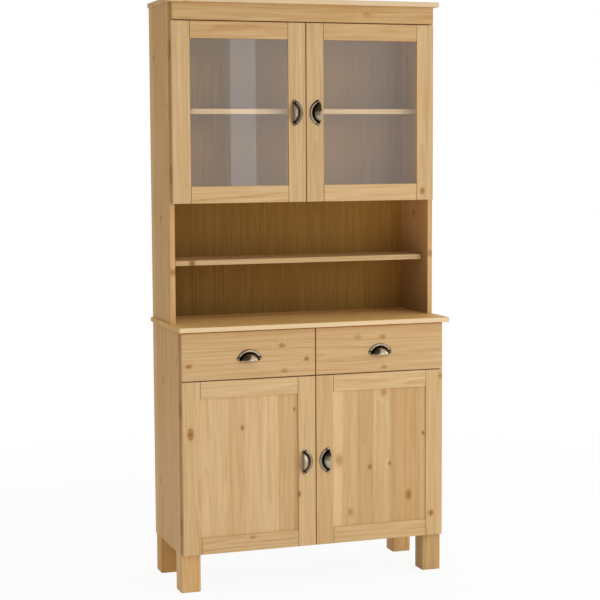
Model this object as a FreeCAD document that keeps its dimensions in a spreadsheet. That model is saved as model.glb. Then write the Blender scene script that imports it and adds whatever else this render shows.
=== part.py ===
import FreeCAD, Part
import math
import os
import re
import Sketcher

# A free-standing pine dresser: a base cupboard with two drawers and two panelled doors on block feet,
# and a shallower hutch with an open niche under two glazed doors.
# X runs along the front, -Y is the front and Z is up. The origin is on the floor, under the middle
# of the overall box, whose depth is the worktop's. Sizes are in millimetres.

DRIVING = {
    # Carcass
    "carcass_width": 852,
    "board": 15,
    "foot_height": 118,
    "foot_width": 62,
    "foot_inset": 2,
    "foot_round": 6,
    "foot_sole_round": 2,
    "base_height": 675,
    "worktop_thickness": 15,
    "worktop_lip": 46,
    "worktop_overhang": 7,
    "hutch_height": 957,
    "hutch_depth": 231,
    "niche_height": 362,
    "top_thickness": 15,
    "top_lip": 44,
    "top_overhang": 4,
    "edge_round": 3,
    "fascia_height": 51,
    "fascia_thickness": 25,
    "fascia_inset": 9,
    # Back panels in their grooves
    "back_thickness": 4,
    "back_inset": 8,
    "back_groove": 6,
    "groove_clearance": 0.2,
    # Loose shelves on pins
    "shelf_corner": 12,
    "shelf_clearance": 1,
    "niche_shelf_rise": 172,
    "niche_shelf_setback": 36,
    "cupboard_shelf_rise": 253,
    "cupboard_shelf_setback": 30,
    "base_shelf_rise": 235,
    "base_shelf_setback": 40,
    "pin_radius": 2.5,
    "pin_seat": 8,
    "pin_reach": 9,
    "pin_inset": 32,
    # Dowels
    "dowel_radius": 4,
    "dowel_length": 30,
    "dowel_seat": 10,
    "dowel_inset": 50,
    "dowel_stagger": 20,
    "dowel_end_clearance": 0.5,
    "fit_clearance": 0.05,
    # Fronts: doors and drawer fronts lie over the carcass edges
    "front_thickness": 18,
    "front_gap": 3,
    "front_reveal": 6.5,
    "front_spacing": 3,
    "front_round": 2,
    "worktop_gap": 4,
    "drawer_front_height": 143.5,
    # Framed doors
    "frame_round": 1,
    "stile_width": 55,
    "rail_width": 51,
    "tenon_length": 20,
    "tenon_shoulder": 12,
    "tenon_clearance": 0.1,
    "panel_setback": 5,
    "panel_thickness": 6,
    "panel_groove": 10,
    "panel_play": 0.5,
    "glass_setback": 4,
    "glass_thickness": 4,
    "glass_rebate": 10,
    "glass_play": 1,
    "bead_width": 9,
    # Butt hinges in the gap behind each door
    "hinge_length": 50,
    "hinge_inset": 85,
    "hinge_axis_reveal": 3.2,
    "hinge_axis_gap": 2.7,
    "hinge_play": 0.3,
    "knuckle_radius": 2.4,
    "hinge_pin_radius": 1.2,
    "leaf_thickness": 1,
    "frame_leaf_width": 8,
    "door_leaf_width": 14,
    # Magnet catches
    "catch_width": 40,
    "catch_depth": 14,
    "catch_height": 12,
    "catch_play": 0.3,
    "catch_offset": 30,
    # Drawer boxes hung on runners
    "drawer_side": 12,
    "drawer_box_height": 105,
    "drawer_box_depth": 262,
    "drawer_back_room": 37,
    "drawer_box_rise": 6,
    "drawer_play": 1.5,
    "drawer_bottom": 4,
    "drawer_bottom_rise": 8,
    "drawer_groove": 5,
    "runner_height": 10,
    "runner_rise": 52,
    "runner_depth": 6,
    "runner_setback": 16,
    "runner_play": 0.3,
    # Cup pulls
    "pull_radius": 42.5,
    "pull_trim": 9,
    "pull_flange": 1.8,
    "pull_corner": 5,
    "pull_rim_round": 1,
    "pull_edge": 9,
    "dome_radius": 34,
    "dome_height": 21,
    "dome_wall": 1.6,
    "pull_screw_radius": 2,
    "pull_screw_spread": 33,
    "pull_screw_rise": 9.5,
}

doc = FreeCAD.newDocument("dresser")
sheet = doc.addObject("Spreadsheet::Sheet", "sizes")
for row, (alias, value) in enumerate(DRIVING.items(), start=1):
    sheet.set(f"A{row}", alias)
    sheet.set(f"B{row}", str(value))
    sheet.setAlias(f"B{row}", alias)
doc.recompute()

LEFT, RIGHT = -1, 1
SIDES = {"left": LEFT, "right": RIGHT}
TOUCHING = 0.001
subparts = []


def bound(text):
    """Point every driving name in an expression at its cell."""
    def cell(word):
        return f"sizes.{word[0]}" if word[0] in DRIVING else word[0]

    return re.sub(r"[a-z][a-z_]+", cell, text)


def subpart(shape_object, label):
    shape_object.Label = label
    subparts.append(shape_object)
    return shape_object


def across(side, near, far):
    """Start and length along X of a span that lies between two distances from the middle, on one side."""
    start = near if side == RIGHT else f"-({far})"
    return start, f"({far}) - ({near})"


def place(item, x, y, z):
    for axis, text in zip("xyz", (x, y, z)):
        item.setExpression(f"Placement.Base.{axis}", bound(text))


def block(name, x, y, z):
    """A box from three (start, length) spans."""
    item = doc.addObject("Part::Box", name)
    for size, span in zip(("Length", "Width", "Height"), (x, y, z)):
        item.setExpression(size, bound(span[1]))
    place(item, x[0], y[0], z[0])
    return item


def rod(name, direction, radius, length, x, y, z):
    """A cylinder that starts at a point and runs along +X or +Z."""
    item = doc.addObject("Part::Cylinder", name)
    if direction == "x":
        item.Placement = FreeCAD.Placement(FreeCAD.Vector(), FreeCAD.Rotation(FreeCAD.Vector(0, 1, 0), 90))
    item.setExpression("Radius", bound(radius))
    item.setExpression("Height", bound(length))
    place(item, x, y, z)
    return item


def group(name, items):
    item = doc.addObject("Part::Compound", name)
    item.Links = items
    return item


def fused(name, items):
    item = doc.addObject("Part::MultiFuse", name)
    item.Shapes = items
    return item


def carved(name, base, tools):
    item = doc.addObject("Part::Cut", name)
    item.Base = base
    item.Tool = tools[0] if len(tools) == 1 else group(f"{name}_cuts", tools)
    return item


def new_body(name):
    return doc.addObject("PartDesign::Body", name)


def sketch_on(body, name, role):
    sketch = body.newObject("Sketcher::SketchObject", name)
    plane = next(feature for feature in body.Origin.OriginFeatures if feature.Role == role)
    sketch.AttachmentSupport = (plane, [""])
    sketch.MapMode = "FlatFace"
    return sketch


def dimension(sketch, name, constraint, text):
    """Add a driving constraint and tie it to the sheet."""
    index = sketch.addConstraint(constraint)
    sketch.renameConstraint(index, name)
    sketch.setExpression(f"Constraints.{name}", bound(text))


def slab(name, width, depth, height, round_edges, radius):
    """A rectangular pad with one corner on its own origin and some edges rounded."""
    body = new_body(name)
    outline = sketch_on(body, f"{name}_outline", "XY_Plane")
    square = DRIVING["foot_width"]
    corners = [FreeCAD.Vector(x, y, 0) for x, y in ((0, 0), (square, 0), (square, square), (0, square))]
    for start, end in zip(corners, corners[1:] + corners[:1]):
        outline.addGeometry(Part.LineSegment(start, end), False)
    for line in range(4):
        outline.addConstraint(Sketcher.Constraint("Coincident", line, 2, (line + 1) % 4, 1))
        outline.addConstraint(Sketcher.Constraint("Horizontal" if line % 2 == 0 else "Vertical", line))
    outline.addConstraint(Sketcher.Constraint("Coincident", 0, 1, -1, 1))
    dimension(outline, "width", Sketcher.Constraint("DistanceX", 0, 1, 0, 2, square), width)
    dimension(outline, "depth", Sketcher.Constraint("DistanceY", 1, 1, 1, 2, square), depth)
    pad = body.newObject("PartDesign::Pad", f"{name}_pad")
    pad.Profile = outline
    pad.setExpression("Length", bound(height))
    doc.recompute()
    return rounded(body, pad, round_edges, radius)


def rounded(body, base, wanted, radius):
    """Round the edges of a body's last feature that a test picks out."""
    edges = [f"Edge{number}" for number, edge in enumerate(base.Shape.Edges, start=1)
             if wanted(base.Shape, edge)]
    fillet = body.newObject("PartDesign::Fillet", f"{base.Name}_round")
    fillet.Base = (base, edges)
    fillet.setExpression("Radius", bound(radius))
    body.Tip = fillet
    doc.recompute()
    return body


def upright(shape, edge):
    box = edge.BoundBox
    return box.ZLength > box.XLength + box.YLength


def front_corner(shape, edge):
    return upright(shape, edge) and edge.BoundBox.YMax < shape.BoundBox.Center.y


def off_the_back(shape, edge):
    return edge.BoundBox.YMin < shape.BoundBox.YMax - TOUCHING


def front_arris(shape, edge):
    return edge.BoundBox.YMax < shape.BoundBox.YMin + TOUCHING


def on_the_sole(shape, edge):
    return edge.BoundBox.ZMax < shape.BoundBox.ZMin + TOUCHING


# Planes and levels that pieces share
half = "carcass_width / 2"
base_depth = "(drawer_box_depth + drawer_back_room + back_thickness + back_inset - front_gap)"
worktop_depth = f"({base_depth} + worktop_lip)"
top_depth = "(hutch_depth + top_lip)"
inner = f"({half} - board)"
rear = f"({worktop_depth} / 2)"
back_face = f"({rear} - back_inset - back_thickness)"
base_front = f"({rear} - {base_depth})"
hutch_front = f"({rear} - hutch_depth)"
base_top = "(foot_height + base_height)"
worktop_top = f"({base_top} + worktop_thickness)"
hutch_top = f"({worktop_top} + hutch_height)"
hutch_floor_level = f"({worktop_top} + niche_height)"
front_near = "front_spacing / 2"
front_far = f"({half} - front_reveal)"
drawer_front_level = f"({base_top} - worktop_gap - drawer_front_height)"
dust_board_level = f"({drawer_front_level} - front_spacing / 2 - board / 2)"
lower_door_height = f"({drawer_front_level} - front_spacing - foot_height)"
upper_door_height = "(hutch_height - niche_height - fascia_height - front_spacing)"

base_depth_span = (base_front, f"{back_face} - {base_front}")
hutch_depth_span = (hutch_front, f"{back_face} - {hutch_front}")
inner_width_span = (f"-{inner}", f"2 * {inner}")


# Boards of the carcass before their holes and grooves; holes collects what is drilled into each
boards = {}
holes = {}


def board(name, item):
    boards[name] = item
    holes[name] = []


for word, side in SIDES.items():
    side_span = across(side, inner, half)
    board(f"base_side_{word}", block(f"base_side_{word}_board", side_span, (base_front, base_depth),
                                     ("foot_height", "base_height")))
    board(f"hutch_side_{word}", block(f"hutch_side_{word}_board", side_span, (hutch_front, "hutch_depth"),
                                      (worktop_top, "hutch_height")))

board("base_floor", block("base_floor_board", inner_width_span, base_depth_span, ("foot_height", "board")))
board("dust_board", block("dust_board_board", inner_width_span, base_depth_span, (dust_board_level, "board")))
board("hutch_floor", block("hutch_floor_board", inner_width_span, hutch_depth_span,
                           (hutch_floor_level, "board")))

worktop = slab("worktop_slab", "carcass_width + 2 * worktop_overhang", worktop_depth, "worktop_thickness",
               off_the_back, "edge_round")
place(worktop, f"-({half} + worktop_overhang)", f"-{rear}", base_top)
board("worktop", worktop)

top_board = slab("top_board_slab", "carcass_width + 2 * top_overhang", top_depth, "top_thickness",
                 off_the_back, "edge_round")
place(top_board, f"-({half} + top_overhang)", f"{rear} - {top_depth}", hutch_top)
board("top_board", top_board)


def foot(name, side, y):
    """A square block with rounded corners and a softened sole."""
    body = slab(f"{name}_block", "foot_width", "foot_width", "foot_height", upright, "foot_round")
    rounded(body, body.Tip, on_the_sole, "foot_sole_round")
    place(body, across(side, f"{half} - foot_inset - foot_width", f"{half} - foot_inset")[0], y, "0")
    board(name, body)


for word, side in SIDES.items():
    foot(f"foot_front_{word}", side, base_front)
    foot(f"foot_back_{word}", side, f"{rear} - foot_width")

subpart(block("drawer_divider", ("-board / 2", "board"), base_depth_span,
              (f"{dust_board_level} + board", f"{base_top} - {dust_board_level} - board")), "drawer_divider")
subpart(block("fascia", (f"-({half} - fascia_inset)", f"2 * ({half} - fascia_inset)"),
              (f"{hutch_front} - fascia_thickness", "fascia_thickness"),
              (f"{hutch_top} - fascia_height", "fascia_height")), "fascia")

# Back panels slide in grooves of the side panels
back_span = (back_face, "back_thickness")
groove_span = (f"{back_face} - groove_clearance / 2", "back_thickness + groove_clearance")
back_reach = f"({inner} + back_groove - groove_clearance)"
back_width_span = (f"-{back_reach}", f"2 * {back_reach}")
for unit, level, height in (("base", "foot_height", "base_height"), ("hutch", worktop_top, "hutch_height")):
    subpart(block(f"{unit}_back", back_width_span, back_span, (level, height)), f"{unit}_back")
    for word, side in SIDES.items():
        groove = block(f"{unit}_groove_{word}", across(side, inner, f"{inner} + back_groove"), groove_span,
                       (level, height))
        holes[f"{unit}_side_{word}"].append(groove)


# Loose shelves on pins
shelf_pins = []


def shelf(name, unit, front, setback, level):
    """A shelf with rounded front corners on four pins in the side panels."""
    width = f"2 * ({inner} - shelf_clearance)"
    depth = f"{back_face} - {front} - {setback}"
    body = slab(f"{name}_slab", width, depth, "board", front_corner, "shelf_corner")
    place(body, f"-({inner} - shelf_clearance)", f"{front} + {setback}", level)
    subpart(body, name)
    for word, side in SIDES.items():
        for end, y in (("front", f"{front} + {setback} + pin_inset"), ("back", f"{back_face} - pin_inset")):
            pin_name = f"{name}_{word}_{end}"
            start, length = across(side, f"{inner} - pin_reach", f"{inner} + pin_seat")
            axis_level = f"{level} - pin_radius - fit_clearance"
            shelf_pins.append(rod(f"{pin_name}_pin", "x", "pin_radius", length, start, y, axis_level))
            holes[f"{unit}_side_{word}"].append(
                rod(f"{pin_name}_hole", "x", "pin_radius + fit_clearance", length, start, y, axis_level))


shelf("base_shelf", "base", base_front, "base_shelf_setback", "foot_height + board + base_shelf_rise")
shelf("niche_shelf", "hutch", hutch_front, "niche_shelf_setback", f"{worktop_top} + niche_shelf_rise")
shelf("cupboard_shelf", "hutch", hutch_front, "cupboard_shelf_setback",
      f"{hutch_floor_level} + board + cupboard_shelf_rise")

# Dowels: each drills one hole through the two boards that it joins
dowels = []


def dowel(name, direction, x, y, z, joined):
    """A dowel that starts at a point and runs along +X or +Z into two boards."""
    dowels.append(rod(f"{name}_dowel", direction, "dowel_radius", "dowel_length", x, y, z))
    slack = "dowel_end_clearance"
    x_start = f"{x} - {slack}" if direction == "x" else x
    z_start = f"{z} - {slack}" if direction == "z" else z
    hole = rod(f"{name}_dowel_hole", direction, "dowel_radius + fit_clearance", f"dowel_length + 2 * {slack}",
               x_start, y, z_start)
    for name_of_board in joined:
        holes[name_of_board].append(hole)


def dowel_pair(front, stagger):
    return {"front": f"{front} + dowel_inset + {stagger}", "back": f"{back_face} - dowel_inset - {stagger}"}


for word, side in SIDES.items():
    panel_middle = f"({half} - board / 2)"
    x_panel = panel_middle if side == RIGHT else f"-{panel_middle}"
    for floor_name, unit, front, level in (("base_floor", "base", base_front, "foot_height"),
                                           ("dust_board", "base", base_front, dust_board_level),
                                           ("hutch_floor", "hutch", hutch_front, hutch_floor_level)):
        x_end = across(side, f"{inner} - dowel_length + dowel_seat", f"{inner} + dowel_seat")[0]
        for end, y in dowel_pair(front, "0").items():
            dowel(f"{floor_name}_{word}_{end}", "x", x_end, y, f"{level} + board / 2",
                  (floor_name, f"{unit}_side_{word}"))
    for end, y in dowel_pair(base_front, "dowel_stagger").items():
        dowel(f"worktop_{word}_{end}", "z", x_panel, y, f"{base_top} - dowel_length + dowel_seat",
              ("worktop", f"base_side_{word}"))
    for end, y in dowel_pair(hutch_front, "0").items():
        dowel(f"hutch_{word}_{end}", "z", x_panel, y, f"{worktop_top} - dowel_seat",
              ("worktop", f"hutch_side_{word}"))
        dowel(f"top_{word}_{end}", "z", x_panel, y, f"{hutch_top} - dowel_length + dowel_seat",
              ("top_board", f"hutch_side_{word}"))
    for end, y in (("front", f"{base_front} + foot_width / 2"), ("back", f"{rear} - foot_width / 2")):
        foot_middle = f"({half} - foot_inset - foot_width / 2)"
        x_foot = foot_middle if side == RIGHT else f"-{foot_middle}"
        dowel(f"foot_{word}_{end}", "z", x_foot, y, "foot_height - dowel_length + dowel_seat",
              (f"foot_{end}_{word}", "base_floor"))

for name, item in boards.items():
    subpart(carved(f"{name}_drilled", item, holes[name]), name)
subpart(group("dowel_set", dowels), "dowels")
subpart(group("shelf_pin_set", shelf_pins), "shelf_pins")


# Cup pulls: less than half of a flanged dome, open along its straight side
def straight_cut(body, name, dome):
    """Trim the half dome along a line beside its axis, which leaves its straight open side."""
    sketch = sketch_on(body, f"{name}_trim_outline", "XY_Plane")
    reach, depth = DRIVING["pull_radius"], DRIVING["pull_trim"]
    corners = [FreeCAD.Vector(x, y, 0) for x, y in ((-reach, 0), (reach, 0), (reach, depth), (-reach, depth))]
    for start, end in zip(corners, corners[1:] + corners[:1]):
        sketch.addGeometry(Part.LineSegment(start, end), False)
    for line in range(4):
        sketch.addConstraint(Sketcher.Constraint("Coincident", line, 2, (line + 1) % 4, 1))
        sketch.addConstraint(Sketcher.Constraint("Horizontal" if line % 2 == 0 else "Vertical", line))
    sketch.addConstraint(Sketcher.Constraint("PointOnObject", 0, 1, -1))
    dimension(sketch, "left", Sketcher.Constraint("DistanceX", 0, 1, -1, 1, reach), "pull_radius")
    dimension(sketch, "right", Sketcher.Constraint("DistanceX", -1, 1, 0, 2, reach), "pull_radius")
    dimension(sketch, "trim", Sketcher.Constraint("DistanceY", 1, 1, 1, 2, depth), "pull_trim")
    cut = body.newObject("PartDesign::Pocket", f"{name}_trim")
    cut.Profile = sketch
    cut.setExpression("Length", bound("dome_height"))
    cut.Reversed = True
    body.Tip = cut
    doc.recompute()
    if cut.Shape.Volume >= dome.Shape.Volume:
        raise RuntimeError(f"{name}: the trim cut nothing")
    return cut


def flange_corner(shape, edge):
    """The short upright edges at the two tips of the flange."""
    box = edge.BoundBox
    at_tip = max(abs(box.XMin), abs(box.XMax)) > shape.BoundBox.XMax - TOUCHING
    return upright(shape, edge) and at_tip


def flange_rim(shape, edge):
    """The upper edge round the flange's curved side and its tips."""
    box = edge.BoundBox
    level = box.ZLength < TOUCHING and box.ZMin > TOUCHING
    curved = hasattr(edge.Curve, "Radius")
    beyond_dome = max(abs(box.XMin), abs(box.XMax)) > DRIVING["dome_radius"]
    return level and curved and beyond_dome


def cup_pull(name, x, y, z, turn):
    """A pull whose flange lies on a front; the dome is revolved about the front's normal, then trimmed."""
    body = new_body(f"{name}_body")
    dome_ball = "((dome_radius ^ 2 + dome_height ^ 2) / (2 * dome_height))"
    profile = sketch_on(body, f"{name}_profile", "XZ_Plane")
    reach, flange_height = DRIVING["pull_radius"], DRIVING["pull_flange"]
    crown_height = DRIVING["dome_height"]
    ball = (DRIVING["dome_radius"] ** 2 + crown_height ** 2) / (2 * crown_height)
    hollow = ball - DRIVING["dome_wall"]
    depth = ball - crown_height
    outside_angle = math.asin((depth + flange_height) / ball)
    inside_angle = math.asin(depth / hollow)
    up = FreeCAD.Vector(0, 0, 1)
    center = FreeCAD.Vector(0, -depth, 0)
    points = [FreeCAD.Vector(x, y, 0) for x, y in ((hollow * math.cos(inside_angle), 0), (reach, 0),
                                                   (reach, flange_height),
                                                   (ball * math.cos(outside_angle), flange_height))]
    crown_points = [FreeCAD.Vector(0, ball - depth, 0), FreeCAD.Vector(0, hollow - depth, 0)]
    for start, end in zip(points, points[1:]):
        profile.addGeometry(Part.LineSegment(start, end), False)
    profile.addGeometry(Part.ArcOfCircle(Part.Circle(center, up, ball), outside_angle, math.pi / 2), False)
    profile.addGeometry(Part.LineSegment(*crown_points), False)
    profile.addGeometry(Part.ArcOfCircle(Part.Circle(center, up, hollow), inside_angle, math.pi / 2), False)
    sole, edge, flange, outside, crown, inside = range(6)
    for pair in ((sole, 2, edge, 1), (edge, 2, flange, 1), (flange, 2, outside, 1), (outside, 2, crown, 1),
                 (crown, 2, inside, 2), (inside, 1, sole, 1), (outside, 3, inside, 3)):
        profile.addConstraint(Sketcher.Constraint("Coincident", *pair))
    profile.addConstraint(Sketcher.Constraint("PointOnObject", sole, 1, -1))
    profile.addConstraint(Sketcher.Constraint("PointOnObject", sole, 2, -1))
    profile.addConstraint(Sketcher.Constraint("Vertical", edge))
    profile.addConstraint(Sketcher.Constraint("Horizontal", flange))
    profile.addConstraint(Sketcher.Constraint("PointOnObject", crown, 1, -2))
    profile.addConstraint(Sketcher.Constraint("PointOnObject", crown, 2, -2))
    profile.addConstraint(Sketcher.Constraint("PointOnObject", outside, 3, -2))
    dimension(profile, "reach", Sketcher.Constraint("DistanceX", -1, 1, sole, 2, reach), "pull_radius")
    dimension(profile, "flange", Sketcher.Constraint("DistanceY", edge, 1, edge, 2, flange_height),
              "pull_flange")
    dimension(profile, "crown", Sketcher.Constraint("DistanceY", -1, 1, crown, 1, crown_height),
              "dome_height")
    dimension(profile, "ball", Sketcher.Constraint("Radius", outside, ball), dome_ball)
    dimension(profile, "hollow", Sketcher.Constraint("Radius", inside, hollow), f"{dome_ball} - dome_wall")
    dome = body.newObject("PartDesign::Revolution", f"{name}_dome")
    dome.Profile = profile
    dome.ReferenceAxis = (profile, ["V_Axis"])
    dome.Angle = 180
    doc.recompute()
    if dome.Shape.BoundBox.YMax < TOUCHING:
        dome.Reversed = True
    doc.recompute()
    trimmed = straight_cut(body, name, dome)
    cornered = rounded(body, trimmed, flange_corner, "pull_corner").Tip
    rimmed = rounded(body, cornered, flange_rim, "pull_rim_round").Tip
    bores = sketch_on(body, f"{name}_bores", "XY_Plane")
    spread, bore = DRIVING["pull_screw_spread"], DRIVING["pull_screw_radius"]
    rise = DRIVING["pull_trim"] + DRIVING["pull_screw_rise"]
    for number, way in enumerate((LEFT, RIGHT)):
        bores.addGeometry(Part.Circle(FreeCAD.Vector(spread * way, rise, 0), up, bore), False)
        ends = (number, 3, -1, 1) if way == LEFT else (-1, 1, number, 3)
        dimension(bores, f"spread{number}", Sketcher.Constraint("DistanceX", *ends, spread),
                  "pull_screw_spread")
        dimension(bores, f"rise{number}", Sketcher.Constraint("DistanceY", -1, 1, number, 3, rise),
                  "pull_trim + pull_screw_rise")
        dimension(bores, f"bore{number}", Sketcher.Constraint("Radius", number, bore), "pull_screw_radius")
    screw_holes = body.newObject("PartDesign::Pocket", f"{name}_screw_holes")
    screw_holes.Profile = bores
    screw_holes.setExpression("Length", bound("pull_flange"))
    screw_holes.Reversed = True
    body.Tip = screw_holes
    doc.recompute()
    if screw_holes.Shape.Volume >= rimmed.Shape.Volume:
        raise RuntimeError(f"{name}: the screw holes cut nothing")
    body.Placement = FreeCAD.Placement(FreeCAD.Vector(), turn)
    place(body, x, y, z)
    return subpart(body, name)


def axes_turn(x_axis, y_axis):
    """The rotation that carries the pull's own X and Y to these directions."""
    first, second = FreeCAD.Vector(*x_axis), FreeCAD.Vector(*y_axis)
    return FreeCAD.Rotation(first, second, first.cross(second), "XYZ")


# Butt hinges: frame leaf on the side panel's edge, door leaf on the door's back, pin between them
frame_leaves = []
hinge_pins = []
pin_bore = "(hinge_pin_radius + fit_clearance)"


def hinge(name, side, carcass_front, level):
    """One hinge around a pin that stands beside the door's outer edge; returns the door's leaf."""
    axis = f"({front_far} + hinge_axis_reveal)"
    axis_x = axis if side == RIGHT else f"-{axis}"
    axis_y = f"({carcass_front} - hinge_axis_gap)"
    joint = "(hinge_length / 3)"
    leaf_near = f"({axis} - knuckle_radius - hinge_play)"
    frame_y = (f"{carcass_front} - leaf_thickness", "leaf_thickness")
    door_y = (f"{carcass_front} - front_gap", "leaf_thickness")

    def knuckle(label, z, length):
        return rod(f"{name}_{label}_knuckle", "z", "knuckle_radius", length, axis_x, axis_y, z)

    def bored(label, pieces):
        bore = rod(f"{name}_{label}_bore", "z", pin_bore, "hinge_length", axis_x, axis_y, level)
        return carved(f"{name}_{label}_leaf", fused(f"{name}_{label}_solid", pieces), [bore])

    end_length = f"{joint} - hinge_play / 2"
    upper_level = f"{level} + 2 * {joint} + hinge_play / 2"
    frame_pieces = [block(f"{name}_frame_plate", across(side, f"{leaf_near} - frame_leaf_width", leaf_near),
                          frame_y, (level, "hinge_length"))]
    for label, z in (("low", level), ("high", upper_level)):
        frame_pieces.append(knuckle(label, z, end_length))
        frame_pieces.append(block(f"{name}_{label}_tab", across(side, leaf_near, axis), frame_y,
                                  (z, end_length)))
    frame_leaves.append(bored("frame", frame_pieces))

    middle = (f"{level} + {joint} + hinge_play / 2", f"{joint} - hinge_play")
    door_pieces = [block(f"{name}_door_plate", across(side, f"{leaf_near} - door_leaf_width", leaf_near),
                         door_y, (level, "hinge_length")),
                   knuckle("middle", *middle),
                   block(f"{name}_door_tab", across(side, leaf_near, f"{axis} - {pin_bore}"), door_y, middle)]
    hinge_pins.append(rod(f"{name}_pin", "z", "hinge_pin_radius", "hinge_length", axis_x, axis_y, level))
    return bored("door", door_pieces)


# Framed doors
def door(name, side, carcass_front, level, height, glazed):
    """Two stiles with two tenoned rails round a panel or a pane, with a pull and two hinges."""
    back = f"({carcass_front} - front_gap)"
    front = f"({back} - front_thickness)"
    rail_near = f"({front_near} + stile_width)"
    rail_far = f"({front_far} - stile_width)"
    rail_levels = {"bottom": level, "top": f"({level} + {height} - rail_width)"}
    if glazed:
        margin, play, setback, thickness = "glass_rebate", "glass_play", "glass_setback", "glass_thickness"
        pocket_depth = f"front_thickness - {setback}"
    else:
        margin, play, setback, thickness = "panel_groove", "panel_play", "panel_setback", "panel_thickness"
        pocket_depth = f"{thickness} + groove_clearance"

    def infill_spans(reach):
        x = across(side, f"{rail_near} - ({reach})", f"{rail_far} + ({reach})")
        z = (f"{level} + rail_width - ({reach})", f"{height} - 2 * rail_width + 2 * ({reach})")
        return x, z

    pocket_x, pocket_z = infill_spans(margin)
    pocket_front = f"{front} + {setback}" if glazed else f"{front} + {setback} - groove_clearance / 2"
    pocket = block(f"{name}_pocket", pocket_x, (pocket_front, pocket_depth), pocket_z)

    tenon_front = f"{front} + panel_setback"
    mortises, rails = [], []
    for word, rail_level in rail_levels.items():
        rail_start, rail_length = across(side, rail_near, rail_far)
        rail = slab(f"{name}_{word}_rail_bar", rail_length, "front_thickness", "rail_width", front_arris,
                    "frame_round")
        place(rail, rail_start, front, rail_level)
        tenon = block(f"{name}_{word}_tenon",
                      across(side, f"{rail_near} - tenon_length", f"{rail_far} + tenon_length"),
                      (tenon_front, "panel_thickness"),
                      (f"{rail_level} + tenon_shoulder", "rail_width - 2 * tenon_shoulder"))
        mortises.append(block(f"{name}_{word}_mortise",
                              across(side, f"{rail_near} - tenon_length - tenon_clearance",
                                     f"{rail_far} + tenon_length + tenon_clearance"),
                              (f"{tenon_front} - tenon_clearance", "panel_thickness + 2 * tenon_clearance"),
                              (f"{rail_level} + tenon_shoulder - tenon_clearance",
                               "rail_width - 2 * tenon_shoulder + 2 * tenon_clearance")))
        tenoned = fused(f"{name}_{word}_rail_solid", [rail, tenon])
        rails.append(carved(f"{name}_{word}_rail", tenoned, [pocket]))
    stiles = []
    for word, near, far in (("meeting", front_near, rail_near), ("hinge", rail_far, front_far)):
        bar = slab(f"{name}_{word}_stile_bar", "stile_width", "front_thickness", height, front_arris,
                   "frame_round")
        place(bar, across(side, near, far)[0], front, level)
        stiles.append(carved(f"{name}_{word}_stile", bar, [pocket] + mortises))
    subpart(group(f"{name}_stile_pair", stiles), f"{name}_stiles")
    subpart(group(f"{name}_rail_pair", rails), f"{name}_rails")

    infill_x, infill_z = infill_spans(f"{margin} - {play}")
    infill = f"{name}_glass" if glazed else f"{name}_panel"
    subpart(block(infill, infill_x, (f"{front} + {setback}", thickness), infill_z), infill)
    if glazed:
        bead_start = f"{front} + {setback} + {thickness}"
        subpart(glazing_beads(name, bead_start, pocket_x, pocket_z), f"{name}_beads")

    pull_axis = f"({front_near} + pull_edge + pull_radius)"
    cup_pull(f"{name}_pull", pull_axis if side == RIGHT else f"-{pull_axis}", front,
             f"{level} + {height} / 2", axes_turn((0, 0, side), (-side, 0, 0)))

    leaves = []
    for word, hinge_level in (("low", f"{level} + hinge_inset - hinge_length / 2"),
                              ("high", f"{level} + {height} - hinge_inset - hinge_length / 2")):
        leaves.append(hinge(f"{name}_{word}_hinge", side, carcass_front, f"({hinge_level})"))
    subpart(group(f"{name}_leaf_pair", leaves), f"{name}_hinge_leaves")


def glazing_beads(name, start_y, pocket_x, pocket_z):
    """Four strips that fill the rebate behind the pane, flush with the door's back."""
    depth_span = (start_y, "front_thickness - glass_setback - glass_thickness")
    x, width = pocket_x
    z, height = pocket_z
    upright_z = (f"{z} + bead_width", f"{height} - 2 * bead_width")
    strips = [block(f"{name}_bead_bottom", pocket_x, depth_span, (z, "bead_width")),
              block(f"{name}_bead_top", pocket_x, depth_span, (f"{z} + {height} - bead_width", "bead_width")),
              block(f"{name}_bead_low_x", (x, "bead_width"), depth_span, upright_z),
              block(f"{name}_bead_high_x", (f"{x} + {width} - bead_width", "bead_width"), depth_span,
                    upright_z)]
    return group(f"{name}_bead_frame", strips)


for word, side in SIDES.items():
    door(f"lower_{word}_door", side, base_front, "foot_height", lower_door_height, glazed=False)
    door(f"upper_{word}_door", side, hutch_front, hutch_floor_level, upper_door_height, glazed=True)
subpart(group("frame_leaf_set", frame_leaves), "hinge_frame_leaves")
subpart(group("hinge_pin_set", hinge_pins), "hinge_pins")

# Magnet catches: under the dust board for the lower doors, on the hutch floor for the upper ones
catches = []
for word, side in SIDES.items():
    catch_x = across(side, "catch_offset - catch_width / 2", "catch_offset + catch_width / 2")
    for unit, front, z in (("base", base_front, f"{dust_board_level} - catch_height"),
                           ("hutch", hutch_front, f"{hutch_floor_level} + board")):
        catch_y = (f"{front} - front_gap + catch_play", "catch_depth")
        catches.append(block(f"{unit}_{word}_catch", catch_x, catch_y, (z, "catch_height")))
subpart(group("catch_set", catches), "magnet_catches")


# Drawers: a front over a grooved box that hangs on two runners
runners = []
box_level = f"({dust_board_level} + board + drawer_box_rise)"
box_front = f"({base_front} - front_gap)"
box_near = "(board / 2 + drawer_play)"
box_far = f"({inner} - drawer_play)"
runner_level = f"({box_level} + runner_rise)"
bottom_level = f"({box_level} + drawer_bottom_rise)"


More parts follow.
